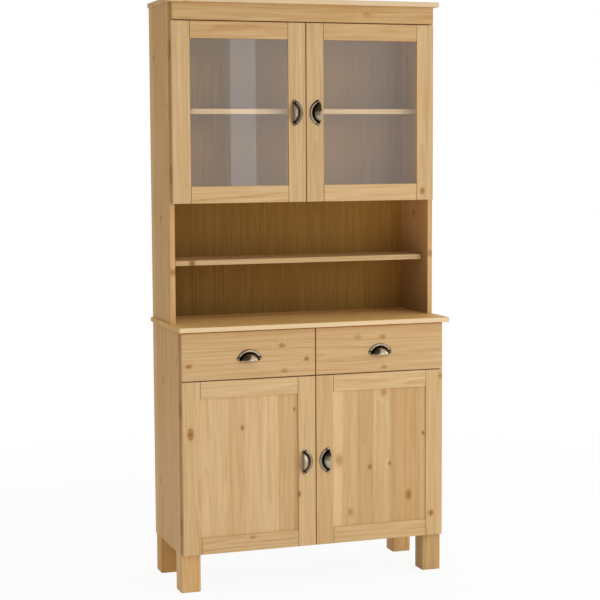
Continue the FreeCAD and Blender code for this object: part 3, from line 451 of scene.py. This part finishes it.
# Float glass: clear, with a sharp reflection of the room
glass, tree = newMaterial("floatGlass")
shader = addNode(tree, "ShaderNodeBsdfPrincipled", {"Base Color": (1, 1, 1, 1), "Roughness": 0.0, "IOR": 1.52,
                                                    "Transmission Weight": 1.0})
addNode(tree, "ShaderNodeOutputMaterial", {0: shader})
panes = ["upper_left_door_glass", "upper_right_door_glass"]
dress(glass, panes)
for pane in panes:     # thin window glass lets the light through to the shelves
    nodes[pane].visible_shadow = nodes[pane].visible_diffuse = False

# Antique pewter: cast zinc, plated, blackened in the hollows and rubbed bright on the crown
pewterLook = {
    "patina": "#15110C", "pewter": "#968976", "rubbed": "#B2A48C",
    "trim": 9.0,                                  # from the straight edge back to the cup's axis
    # colour by distance from the axis: rubbed crown, black ring at the cup's root, pewter flange
    "bandReach": 50.0,
    "bands": [(0.0, "rubbed"), (0.46, "rubbed"), (0.55, "pewter"), (0.63, "patina"), (0.715, "patina"),
              (0.76, "pewter"), (1.0, "pewter")],
    "mottle": 5.0, "mottleShift": 3.0, "dents": 0.08,
    "pullShadeShare": {"upper_left_door_pull": 0.45},    # painted shade: this pull is mixed darker towards the patina
    "smooth": 0.10, "dull": 0.28,
    "flangeFrom": 35.0, "rimCurve": 12.0,
}


def pewterMaterial(name, onAxis, pullShadeShare):
    material, tree = newMaterial(name)
    spot = addNode(tree, "ShaderNodeTexCoord").outputs["Object"]
    fromAxis = addNode(tree, "ShaderNodeVectorMath", {0: spot, 1: (1000, 1000, 1000), 2: tuple(-onAxis)},
                       operation="MULTIPLY_ADD")
    flat = addNode(tree, "ShaderNodeVectorMath", {0: fromAxis, 1: (1, 0, 1)}, operation="MULTIPLY")
    reach = addNode(tree, "ShaderNodeVectorMath", {0: flat}, operation="LENGTH")
    mottle = addNode(tree, "ShaderNodeTexNoise", {"Vector": spot, "Scale": 1000 / pewterLook["mottle"],
                                                  "Detail": 4.0, "Roughness": 0.6})
    worn = addNode(tree, "ShaderNodeMath", {0: mottle, 1: pewterLook["mottleShift"], 2: reach},
                   operation="MULTIPLY_ADD")
    worn = addNode(tree, "ShaderNodeMapRange", {"Value": worn, "From Max": pewterLook["bandReach"]})
    colour = addNode(tree, "ShaderNodeValToRGB", {0: worn},
                     stops=[(at, linear(pewterLook[band])) for at, band in pewterLook["bands"]])
    patina = linear(pewterLook["patina"])
    # painted shade on one pull
    if pullShadeShare:
        colour = addNode(tree, "ShaderNodeMix", {0: pullShadeShare, 6: colour, 7: patina}, data_type="RGBA")
    # the hollow stays black
    facing = addNode(tree, "ShaderNodeNewGeometry").outputs["Normal"]
    outward = addNode(tree, "ShaderNodeVectorMath", {0: facing, 1: fromAxis}, operation="DOT_PRODUCT")
    hollow = addNode(tree, "ShaderNodeMath", {0: outward, 1: 0.0}, operation="LESS_THAN")
    colour = addNode(tree, "ShaderNodeMix", {0: hollow, 6: colour, 7: patina}, data_type="RGBA")
    rough = addNode(tree, "ShaderNodeMapRange", {"Value": mottle, "To Min": pewterLook["smooth"],
                                                 "To Max": pewterLook["dull"]})
    # the flange falls away towards its rim, by the square of the distance over twice the curve's radius
    fall = addNode(tree, "ShaderNodeMath", {0: reach, 1: pewterLook["flangeFrom"]}, operation="SUBTRACT")
    fall = addNode(tree, "ShaderNodeMath", {0: fall, 1: 0.0}, operation="MAXIMUM")
    fall = addNode(tree, "ShaderNodeMath", {0: fall, 1: 2.0}, operation="POWER")
    dents = addNode(tree, "ShaderNodeMath", {0: mottle, 1: pewterLook["dents"]}, operation="MULTIPLY")
    relief = addNode(tree, "ShaderNodeMath", {0: fall, 1: -0.5 / pewterLook["rimCurve"], 2: dents},
                     operation="MULTIPLY_ADD")
    bump = addNode(tree, "ShaderNodeBump", {"Strength": 1.0, "Distance": 0.001, "Height": relief})
    shader = addNode(tree, "ShaderNodeBsdfPrincipled", {"Base Color": colour, "Metallic": 1.0,
                                                        "Roughness": rough, "Normal": bump})
    addNode(tree, "ShaderNodeOutputMaterial", {0: shader})
    return material


pulls = [name for name in nodes if name.endswith("_pull")]
for pull in pulls:
    low, high = boxInMillimetres(pull)
    onAxis = (low + high) / 2
    onAxis.y = high.y
    if "drawer" in pull:
        onAxis.z = low.z - pewterLook["trim"]
    else:
        onAxis.x = high.x + pewterLook["trim"] if low.x > 0 else low.x - pewterLook["trim"]
    name = f"antiquePewter_{pull.removesuffix('_pull')}"
    dress(pewterMaterial(name, onAxis, pewterLook["pullShadeShare"].get(pull)), [pull])


def addPatches(tree, look):
    # patches of a size in millimetres, and the tones from one to the next
    spot = addNode(tree, "ShaderNodeTexCoord").outputs["Object"]
    patches = addNode(tree, "ShaderNodeTexNoise", {"Vector": spot, "Scale": 1000 / look["patch"],
                                                   "Detail": look["detail"]})
    colour = addNode(tree, "ShaderNodeValToRGB", {0: patches},
                     stops=[(at, linear(tone)) for at, tone in look["tones"]])
    return patches, colour


# Hinge steel: rolled, antiqued with a dull brass lacquer, a little scuffed, close to the wood in tone
steelLook = {"tones": [(0.3, "#B48F5A"), (0.75, "#C9A36C")], "patch": 3.0, "detail": 4.0,
             "metal": 0.3, "smooth": 0.5, "dull": 0.65}
steel, tree = newMaterial("brassedSteel")
scuff, colour = addPatches(tree, steelLook)
rough = addNode(tree, "ShaderNodeMapRange", {"Value": scuff, "To Min": steelLook["smooth"],
                                             "To Max": steelLook["dull"]})
shader = addNode(tree, "ShaderNodeBsdfPrincipled", {"Base Color": colour, "Metallic": steelLook["metal"],
                                                    "Roughness": rough})
addNode(tree, "ShaderNodeOutputMaterial", {0: shader})
doorLeaves = [name for name in nodes if name.endswith("_door_hinge_leaves")]
dress(steel, doorLeaves + ["hinge_frame_leaves", "hinge_pins", "shelf_pins"])

# Blackened steel: oil-blacked screws, almost matt
blackLook = {"tones": [(0.3, "#17130F"), (0.8, "#352D24")], "patch": 1.5, "detail": 3.0,
             "metal": 0.7, "rough": 0.42}
blackened, tree = newMaterial("blackenedSteel")
colour = addPatches(tree, blackLook)[1]
shader = addNode(tree, "ShaderNodeBsdfPrincipled", {"Base Color": colour, "Metallic": blackLook["metal"],
                                                    "Roughness": blackLook["rough"]})
addNode(tree, "ShaderNodeOutputMaterial", {0: shader})

# Catches: brown moulded ABS with a fine spark-eroded texture
absLook = {"tones": [(0.3, "#5A3D22"), (0.7, "#66482B")], "detail": 2.0,
           "patch": 0.8,            # real grit is about 0.05 mm, drawn coarser so that it shows
           "rough": 0.5, "ior": 1.54, "bump": 0.15, "gritDepth": 0.2}
plastic, tree = newMaterial("brownAbs")
grit, colour = addPatches(tree, absLook)
bump = addNode(tree, "ShaderNodeBump", {"Strength": absLook["bump"], "Distance": absLook["gritDepth"] / 1000,
                                        "Height": grit})
shader = addNode(tree, "ShaderNodeBsdfPrincipled", {"Base Color": colour, "Roughness": absLook["rough"],
                                                    "IOR": absLook["ior"], "Normal": bump})
addNode(tree, "ShaderNodeOutputMaterial", {0: shader})
dress(plastic, ["magnet_catches"])
print("glass, metals and plastic dressed")

# Sawn boards get their arrises eased with a little sandpaper
easing = {"sides": 1.2, "boards": 1.0, "catches": 1.0, "fascia": 1.5, "segments": 2, "sharperThan": 40.0}
easedBoards = {
    "sides": ["base_side_left", "base_side_right", "hutch_side_left", "hutch_side_right"],
    "fascia": ["fascia"],
    "boards": ["base_floor", "dust_board", "hutch_floor", "drawer_divider", "niche_shelf", "cupboard_shelf",
               "base_shelf", "left_drawer_back", "right_drawer_back"],
    "catches": ["magnet_catches"],
}
for kind, names in easedBoards.items():
    for name in names:
        bevel = nodes[name].modifiers.new("eased", "BEVEL")
        bevel.width = easing[kind] / 1000
        bevel.segments = easing["segments"]
        bevel.limit_method = "ANGLE"
        bevel.angle_limit = math.radians(easing["sharperThan"])
        bevel.use_clamp_overlap = True
print("arrises eased")

outwards = {"front": Matrix.Rotation(math.pi / 2, 4, "X"), "back": Matrix.Rotation(-math.pi / 2, 4, "X")}


def standing(place, facing, turn=0.0):
    # local millimetres, z out of the surface, to metres in the part's frame
    seat = Matrix.Translation(Vector(place) / 1000) @ outwards[facing]
    return seat @ Matrix.Rotation(math.radians(turn), 4, "Z") @ Matrix.Scale(0.001, 4)


def joinLoops(bm, loops):
    # walls from loop to loop, and a cap under the first
    for low, high in zip(loops, loops[1:]):
        for i in range(len(low)):
            j = (i + 1) % len(low)
            bm.faces.new((low[i], low[j], high[j], high[i]))
    bm.faces.new(loops[0][::-1])


# shares of the head's radius and rise from its seat to the flat of its crown
screwHead = {"profile": [(1.0, 0.0), (1.0, 0.35), (0.93, 0.7), (0.8, 0.92), (0.68, 1.0)], "recessTaper": 0.7}


def addScrew(bm, look, place):
    head, rise, sides = look["head"], look["rise"], look["sides"]
    profile = [(look["shank"], -look["length"]), (look["shank"], 0.0)]
    profile += [(head * wide, rise * high) for wide, high in screwHead["profile"]]
    turns = [2 * math.pi * i / sides for i in range(sides)]
    loops = [[bm.verts.new(place @ Vector((r * math.cos(t), r * math.sin(t), h))) for t in turns]
             for r, h in profile]
    joinLoops(bm, loops)
    # cross recess, sunk into the top of the head
    arm, slot, taper = look["arm"] * head, look["slot"] * head, screwHead["recessTaper"]
    outline, quarter = [], [(slot, arm), (slot, slot), (arm, slot)]
    for arms in range(4):
        outline += quarter
        quarter = [(y, -x) for x, y in quarter]
    upper = [bm.verts.new(place @ Vector((x, y, rise))) for x, y in outline]
    lower = [bm.verts.new(place @ Vector((taper * x, taper * y, rise - look["deep"]))) for x, y in outline]
    joinLoops(bm, [lower, upper])
    rim = [bm.edges.get((loop[i], loop[(i + 1) % len(loop)]))
           for loop in (loops[-1], upper) for i in range(len(loop))]
    bmesh.ops.triangle_fill(bm, edges=rim, use_beauty=True)


def finishPiece(name, bm, material, body):
    mesh = bpy.data.meshes.new(name)
    bmesh.ops.recalc_face_normals(bm, faces=bm.faces)
    bm.to_mesh(mesh)
    bm.free()
    mesh.materials.append(material)
    piece = bpy.data.objects.new(name, mesh)
    scene.collection.objects.link(piece)
    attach(piece, body)


# Pan-head screws, two in the tips of each pull
panScrew = {"head": 3.1, "rise": 1.6, "shank": 1.9, "length": 1.8, "sides": 24,
            "arm": 0.52, "slot": 0.13, "deep": 0.9,
            "spread": 33.0, "inset": 9.5, "flange": 1.8, "turns": (20.0, 65.0)}
for pull in pulls:
    low, high = boxInMillimetres(pull)
    body = pull.removesuffix("_pull")
    flangeFace = high.y - panScrew["flange"]
    middle = (low + high) / 2
    bm = bmesh.new()
    for side, turn in zip((-1, 1), panScrew["turns"]):
        if "drawer" in pull:
            spot = (middle.x + side * panScrew["spread"], flangeFace, low.z + panScrew["inset"])
        else:
            inner = high.x - panScrew["inset"] if low.x > 0 else low.x + panScrew["inset"]
            spot = (inner, flangeFace, middle.z + side * panScrew["spread"])
        addScrew(bm, panScrew, standing(spot, "front", turn))
    finishPiece(f"{body}_pull_screws", bm, blackened, body)

# Countersunk screws in the hinge leaves, three to a leaf, nearly flush
flatScrew = {"head": 2.1, "rise": 0.25, "shank": 1.2, "length": 0.9, "sides": 20,
             "arm": 0.5, "slot": 0.12, "deep": 0.2,
             "along": (8.0, 25.0, 42.0), "leaf": 50.0, "doorReach": 411.0, "frameReach": 415.5, "turn": 37.0,
             "leafThick": 1.0, "leafBack": 3.0}      # from the door's back to the back of the frame's leaf
frameScrews = bmesh.new()
for leaves in doorLeaves:
    low, high = boxInMillimetres(leaves)
    side = 1 if low.x > 0 else -1
    body = leaves.removesuffix("_hinge_leaves")
    doorBack = boxInMillimetres(f"{body}_stiles")[1].y
    doorLeafFace = doorBack + flatScrew["leafThick"]
    frameLeafFace = doorBack + flatScrew["leafBack"] - flatScrew["leafThick"]
    bm = bmesh.new()
    for start in (low.z, high.z - flatScrew["leaf"]):
        for number, along in enumerate(flatScrew["along"]):
            turn = number * flatScrew["turn"]
            onDoor = (side * flatScrew["doorReach"], doorLeafFace, start + along)
            onFrame = (side * flatScrew["frameReach"], frameLeafFace, start + along)
            addScrew(bm, flatScrew, standing(onDoor, "back", turn))
            addScrew(frameScrews, flatScrew, standing(onFrame, "front", turn))
    finishPiece(f"{body}_hinge_screws", bm, steel, body)
finishPiece("frame_hinge_screws", frameScrews, steel, "carcass")

# Strike plates: thin stamped steel on the doors' backs, facing the magnets
strikePlate = {"half": (17.0, 5.0), "corner": 2.5, "steps": 5, "thick": 0.2, "edge": 0.1, "crown": 0.985,
               "middle": 30.0, "height": {"lower": 630.5, "upper": 1191.0}}
halfX, halfY = strikePlate["half"]
corner, steps, thick = strikePlate["corner"], strikePlate["steps"], strikePlate["thick"]
outline = []
for quarter, (signX, signY) in enumerate(((1, 1), (-1, 1), (-1, -1), (1, -1))):
    for step in range(steps + 1):
        angle = math.pi / 2 * (quarter + step / steps)
        outline.append((signX * (halfX - corner) + corner * math.cos(angle),
                        signY * (halfY - corner) + corner * math.sin(angle)))
for level, height in strikePlate["height"].items():
    for side, sign in (("left", -1), ("right", 1)):
        body = f"{level}_{side}_door"
        doorBack = boxInMillimetres(f"{body}_stiles")[1].y
        place = standing((sign * strikePlate["middle"], doorBack, height), "back")
        bm = bmesh.new()
        rises = ((1.0, 0.0), (1.0, thick - strikePlate["edge"]), (strikePlate["crown"], thick))
        loops = [[bm.verts.new(place @ Vector((x * grow, y * grow, z))) for x, y in outline]
                 for grow, z in rises]
        joinLoops(bm, loops)
        bm.faces.new(loops[-1])
        finishPiece(f"{body}_strike_plate", bm, steel, body)
print("screws and strike plates made")


def whereSeen(tree, path):
    # 1 where the eye, metal or glass sees the background, 0 where it only lights the object
    seen = path.outputs["Is Camera Ray"]
    for ray in ("Is Glossy Ray", "Is Transmission Ray"):
        seen = addNode(tree, "ShaderNodeMath", {0: seen, 1: path.outputs[ray]}, operation="MAXIMUM")
    return seen


# Floor: a pale studio sweep that fades into the white background
studioFloor = {"paint": "#F2F1EF", "spread": 30.0, "drop": 0.0006, "whiteFrom": 1.3, "whiteTo": 3.0,
               "shadowShare": 0.92}
spread, drop = studioFloor["spread"], studioFloor["drop"]
floorMesh = bpy.data.meshes.new("studioFloor")
floorMesh.from_pydata([(-spread, -spread, -drop), (spread, -spread, -drop), (spread, spread, -drop),
                       (-spread, spread, -drop)], [], [(0, 1, 2, 3)])
floor = bpy.data.objects.new("studioFloor", floorMesh)
scene.collection.objects.link(floor)
paint, tree = newMaterial("palePaint")
seen = whereSeen(tree, addNode(tree, "ShaderNodeLightPath"))
place = addNode(tree, "ShaderNodeNewGeometry").outputs["Position"]
away = addNode(tree, "ShaderNodeVectorMath", {0: place}, operation="LENGTH")
share = addNode(tree, "ShaderNodeMapRange",
                {"Value": away, "From Min": studioFloor["whiteFrom"], "From Max": studioFloor["whiteTo"],
                 "To Min": studioFloor["shadowShare"]}, interpolation_type="SMOOTHSTEP")
share = addNode(tree, "ShaderNodeMath", {0: share, 1: seen}, operation="MULTIPLY")
matt = addNode(tree, "ShaderNodeBsdfDiffuse", {"Color": linear(studioFloor["paint"])})
glow = addNode(tree, "ShaderNodeEmission", {"Color": (1, 1, 1, 1), "Strength": 1.0})
both = addNode(tree, "ShaderNodeMixShader", {0: share, 1: matt, 2: glow})
addNode(tree, "ShaderNodeOutputMaterial", {0: both})
floorMesh.materials.append(paint)

# White room: white to the eye, to metal and to glass, softer as light on the wood
whiteRoom = {"ambient": 0.78, "slope": 0.50, "brightSide": (0.72, 0.42, 0.10)}
world = bpy.data.worlds.new("whiteRoom")
scene.world = world
world.use_nodes = True
tree = world.node_tree
tree.nodes.clear()
path = addNode(tree, "ShaderNodeLightPath")
seen = whereSeen(tree, path)
# a ray that has left the wood never sees the white, not even in a mirror
direct = addNode(tree, "ShaderNodeMath", {0: path.outputs["Diffuse Depth"], 1: 0.5}, operation="LESS_THAN")
seen = addNode(tree, "ShaderNodeMath", {0: seen, 1: direct}, operation="MULTIPLY")
towards = addNode(tree, "ShaderNodeTexCoord").outputs["Generated"]
towards = addNode(tree, "ShaderNodeVectorMath", {0: towards, 1: whiteRoom["brightSide"]},
                  operation="DOT_PRODUCT")
strength = addNode(tree, "ShaderNodeMath", {0: towards, 1: whiteRoom["slope"], 2: whiteRoom["ambient"]},
                   operation="MULTIPLY_ADD")
soft = addNode(tree, "ShaderNodeBackground", {"Color": (1, 1, 1, 1), "Strength": strength})
white = addNode(tree, "ShaderNodeBackground", {"Color": (1, 1, 1, 1), "Strength": 1.0})
both = addNode(tree, "ShaderNodeMixShader", {0: seen, 1: soft, 2: white})
addNode(tree, "ShaderNodeOutputWorld", {0: both})

# Soft boxes: a large key in front on the right, which the panes mirror as a veil, a strip that shows in the
# left pane, and two further right for the fronts and the right-hand edges
softBoxes = {
    "key": {"place": (1.35, -3.6, 1.75), "aim": (0.0, -0.1, 1.1), "size": (2.6, 2.8), "power": 18.6},
    "strip": {"place": (0.807, -3.4, 1.5), "aim": (0.0, -0.1, 1.5), "size": (0.13, 2.4), "power": 0.95},
    "side": {"place": (2.65, -3.75, 1.8), "aim": (0.0, -0.1, 1.0), "size": (1.0, 2.0), "power": 23.5},
    "edge": {"place": (3.1, -0.9, 1.3), "aim": (0.0, -0.1, 0.9), "size": (0.25, 2.2), "power": 9.0},
}
for name, box in softBoxes.items():
    light = bpy.data.lights.new(name, "AREA")
    light.shape = "RECTANGLE"
    light.size, light.size_y = box["size"]
    light.energy = box["power"]
    lamp = bpy.data.objects.new(name, light)
    lamp.location = box["place"]
    lamp.rotation_euler = (Vector(box["aim"]) - Vector(box["place"])).to_track_quat("-Z", "Y").to_euler()
    lamp.visible_camera = False
    scene.collection.objects.link(lamp)
print("studio lit")


def addMirrored(name, corners, faces, material):
    # a studio piece that is seen only as a reflection
    mesh = bpy.data.meshes.new(name)
    mesh.from_pydata(corners, [], faces)
    mesh.materials.append(material)
    piece = bpy.data.objects.new(name, mesh)
    scene.collection.objects.link(piece)
    piece.visible_camera = piece.visible_diffuse = piece.visible_shadow = False
    piece.visible_transmission = piece.visible_volume_scatter = False


# Cards before the key's ends: the veil in the panes fades to the far left and to the far right
cardLook = {"bottom": 0.3, "top": 3.2, "full": 1.81}      # as bright as the key and the room behind it
cards = {"leftCard": {"x": (0.14, 0.76), "y": -3.45, "dimAt": 0.70, "fullAt": 0.76,
                      "dim": (1.44, 1.35, 1.24, 1.0)},
         "rightCard": {"x": (1.385, 2.4), "y": -3.0, "dimAt": 1.54, "fullAt": 1.385,
                       "dim": (1.13, 1.07, 0.90, 1.0)}}
bottom, top = cardLook["bottom"], cardLook["top"]
for name, card in cards.items():
    linen, tree = newMaterial(f"linen_{name}")
    place = addNode(tree, "ShaderNodeNewGeometry").outputs["Position"]
    place = addNode(tree, "ShaderNodeSeparateXYZ", {0: place})
    share = addNode(tree, "ShaderNodeMapRange", {"Value": place.outputs["X"], "From Min": card["dimAt"],
                                                 "From Max": card["fullAt"]})
    colour = addNode(tree, "ShaderNodeMix", {0: share, 6: card["dim"], 7: grey(cardLook["full"])},
                     data_type="RGBA")
    glow = addNode(tree, "ShaderNodeEmission", {"Color": colour, "Strength": 1.0})
    addNode(tree, "ShaderNodeOutputMaterial", {0: glow})
    (near, far), y = card["x"], card["y"]
    corners = [(near, y, bottom), (far, y, bottom), (far, y, top), (near, y, top)]
    addMirrored(name, corners, [(0, 1, 2, 3)], linen)

# Drape round the left and a canopy over it, grey below and darker above, which give metal its contrast
drape = {"radius": 3.0, "from": -20.0, "to": -172.0, "steps": 32, "height": 2.8,
         "canopyX": (-3.2, 0.9), "canopyY": (-4.6, 3.0), "wall": "#A8A49C", "canopy": "#504D47",
         "greyTo": 1.65, "darkFrom": 2.3, "darkTo": 0.1, "greyFrom": 0.8}     # heights, then places across
sweep, steps = drape["to"] - drape["from"], drape["steps"]
corners = []
for step in range(steps + 1):
    angle = math.radians(drape["from"] + sweep * step / steps)
    x, y = drape["radius"] * math.sin(angle), -drape["radius"] * math.cos(angle)
    corners += [(x, y, 0.0), (x, y, drape["height"])]
faces = [(2 * i, 2 * i + 2, 2 * i + 3, 2 * i + 1) for i in range(steps)]
faces.append(tuple(range(len(corners), len(corners) + 4)))
(leftEdge, rightEdge), (frontEdge, backEdge) = drape["canopyX"], drape["canopyY"]
corners += [(x, y, drape["height"]) for x, y in ((leftEdge, frontEdge), (rightEdge, frontEdge),
                                                 (rightEdge, backEdge), (leftEdge, backEdge))]
cloth, tree = newMaterial("greyCloth")
place = addNode(tree, "ShaderNodeNewGeometry").outputs["Position"]
place = addNode(tree, "ShaderNodeSeparateXYZ", {0: place})
upwards = addNode(tree, "ShaderNodeMapRange", {"Value": place.outputs["Z"], "From Min": drape["greyTo"],
                                               "From Max": drape["darkFrom"]})
fade = addNode(tree, "ShaderNodeMapRange", {"Value": place.outputs["X"], "From Min": drape["darkTo"],
                                            "From Max": drape["greyFrom"], "To Min": 1.0, "To Max": 0.0})
darkness = addNode(tree, "ShaderNodeMath", {0: upwards, 1: fade}, operation="MULTIPLY")
colour = addNode(tree, "ShaderNodeMix", {0: darkness, 6: linear(drape["wall"]), 7: linear(drape["canopy"])},
                 data_type="RGBA")
glow = addNode(tree, "ShaderNodeEmission", {"Color": colour, "Strength": 1.0})
addNode(tree, "ShaderNodeOutputMaterial", {0: glow})
addMirrored("blackDrape", corners, faces, cloth)
print("cards and drape hung")

# Camera: from the left at chest height, looking slightly down
view = {"place": (-1.6167, -4.7662, 1.3442), "yaw": 18.7625, "tilt": 5.4816, "roll": -0.3009,
        "lens": 97.19, "sensor": 36.0}
yaw, tilt, roll = (math.radians(view[key]) for key in ("yaw", "tilt", "roll"))
forward = Vector((math.sin(yaw) * math.cos(tilt), math.cos(yaw) * math.cos(tilt), -math.sin(tilt)))
right = Vector((math.cos(yaw), -math.sin(yaw), 0.0))
up = right.cross(forward)
right, up = right * math.cos(roll) + up * math.sin(roll), up * math.cos(roll) - right * math.sin(roll)
lens = bpy.data.cameras.new("studioCamera")
lens.sensor_width = view["sensor"]
lens.lens = view["lens"]
camera = bpy.data.objects.new("studioCamera", lens)
camera.matrix_world = Matrix((right, up, -forward)).transposed().to_4x4()
camera.location = view["place"]
scene.collection.objects.link(camera)
scene.camera = camera
print("camera set")
